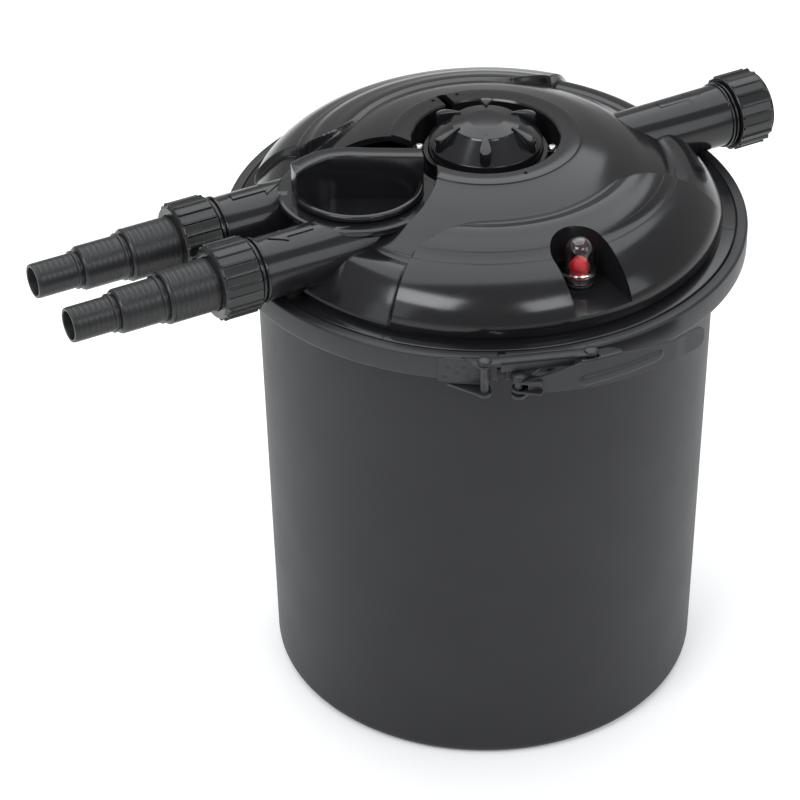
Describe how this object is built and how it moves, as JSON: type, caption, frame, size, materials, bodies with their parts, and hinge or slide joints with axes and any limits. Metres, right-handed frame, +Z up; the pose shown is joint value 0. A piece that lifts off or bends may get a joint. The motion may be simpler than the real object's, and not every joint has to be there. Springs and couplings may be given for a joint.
{
  "type": "canister filter",
  "caption": "Round pond canister filter: tapered barrel, domed lid held by a lever clamp ring, stepped hose inlets, diverter valve, outlet and a central UV unit.",
  "frame": {"origin": "centre of the barrel's flat base, at the level it stands on", "axes": "+Z up the barrel's axis, +X along the clean water outlet, the two inlets at -X, the flow indicator at -Y"},
  "size_m": [0.5795, 0.4005, 0.4645],
  "materials": {
    "barrel_plastic": "satin",
    "lid_plastic": "gloss",
    "nut_plastic": "satin",
    "tail_plastic": "satin",
    "clamp_steel": "satin",
    "rivet_steel": "satin",
    "screw_steel": "polished",
    "seal_rubber": "matte",
    "clear_plastic": "clear",
    "float_red": "gloss",
    "media_plastic": "satin",
    "lamp_white": "gloss",
    "lamp_glass": "frosted",
    "quartz_glass": "clear",
    "foam_coarse": "open foam",
    "foam_fine": "open foam"
  },
  "bodies": {
    "root": {"barrel": "barrel_plastic", "lid": "lid_plastic", "lid_seal": "seal_rubber", "clamp_ring": "clamp_steel", "left_bracket": "clamp_steel", "right_bracket": "clamp_steel", "link_pin": "rivet_steel", "fulcrum_pin": "rivet_steel", "inlet_hose_tail": "tail_plastic", "drain_hose_tail": "tail_plastic", "tail_gaskets": "seal_rubber", "spindle_seal": "seal_rubber", "uv_retaining_ring": "lid_plastic", "uv_ring_screws": "screw_steel", "sleeve_seal": "seal_rubber", "indicator_stub": "lid_plastic", "indicator_dome": "clear_plastic", "indicator_seal": "seal_rubber", "lower_grid": "media_plastic", "upper_grid": "media_plastic", "foam_disc_1": "foam_coarse", "foam_disc_2": "foam_coarse", "foam_disc_3": "foam_fine", "foam_disc_4": "foam_fine", "riser_tube": "media_plastic", "drain_pipe": "media_plastic", "bio_balls": "media_plastic"},
    "lever": {"clamp_lever": "clamp_steel"},
    "link": {"latch_link": "clamp_steel", "link_rivet": "rivet_steel"},
    "valve": {"valve_dial": "lid_plastic", "valve_spindle": "media_plastic", "valve_rotor": "media_plastic"},
    "uv_unit": {"uv_knob": "lid_plastic", "lamp_holder": "lamp_white", "uv_lamp": "lamp_glass", "quartz_sleeve": "quartz_glass"},
    "float": {"indicator_float": "float_red"},
    "inlet_nut": {"inlet_union_nut": "nut_plastic"},
    "drain_nut": {"drain_union_nut": "nut_plastic"},
    "outlet_nut": {"outlet_union_nut": "nut_plastic"}
  },
  "joints": [
    {"name": "lever_swing", "type": "hinge", "parent": "root", "child": "lever", "pos_m": [-0.07964, -0.18672, 0.371], "axis": [0, 0, -1], "range_deg": [0, 100]},
    {"name": "link_swing", "type": "hinge", "parent": "root", "child": "link", "pos_m": [-0.09939, -0.17355, 0.388], "axis": [0, 0, -1], "range_deg": [0, 50]},
    {"name": "valve_turn", "type": "hinge", "parent": "root", "child": "valve", "pos_m": [-0.105, 0, 0.436], "axis": [0, 0, 1], "range_deg": [0, 180]},
    {"name": "uv_turn", "type": "hinge", "parent": "root", "child": "uv_unit", "pos_m": [0, 0, 0.44], "axis": [0, 0, 1], "range_deg": [0, 45]},
    {"name": "float_rise", "type": "slide", "parent": "root", "child": "float", "axis": [0, 0, 1], "range_m": [0, 0.009]},
    {"name": "inlet_nut_turn", "type": "hinge", "parent": "root", "child": "inlet_nut", "pos_m": [-0.22, 0.0315, 0.415], "axis": [-1, 0, 0], "continuous": true},
    {"name": "drain_nut_turn", "type": "hinge", "parent": "root", "child": "drain_nut", "pos_m": [-0.22, -0.0315, 0.415], "axis": [-1, 0, 0], "continuous": true},
    {"name": "outlet_nut_turn", "type": "hinge", "parent": "root", "child": "outlet_nut", "pos_m": [0.22, 0, 0.411], "axis": [1, 0, 0], "continuous": true}
  ],
  "couplings": [
    {"joint": "link_swing", "follows": "lever_swing", "ratio": 0.5}
  ]
}
